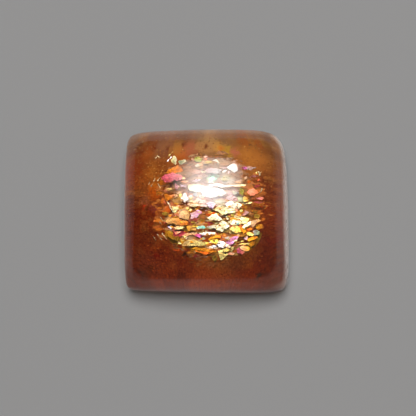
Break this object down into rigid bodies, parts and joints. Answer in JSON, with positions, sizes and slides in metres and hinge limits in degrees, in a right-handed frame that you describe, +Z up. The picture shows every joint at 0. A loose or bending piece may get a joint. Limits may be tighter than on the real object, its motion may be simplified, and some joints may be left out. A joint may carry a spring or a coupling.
{
  "type": "sunstone cabochon",
  "caption": "Square polished stone with rounded corners, a smooth domed top, a short wall and a flat base, full of glittering platelets.",
  "frame": {"origin": "middle of the flat base, which the stone rests on", "axes": "+Z up through the top of the dome; +X and +Y along the sides of the square plan, with the roundest corner at +X +Y"},
  "size_m": [0.012, 0.012, 0.0056],
  "materials": {
    "sunstone": "polished, translucent orange-brown with bright coloured platelets inside"
  },
  "bodies": {
    "root": {"cabochon": "sunstone"}
  },
  "joints": []
}
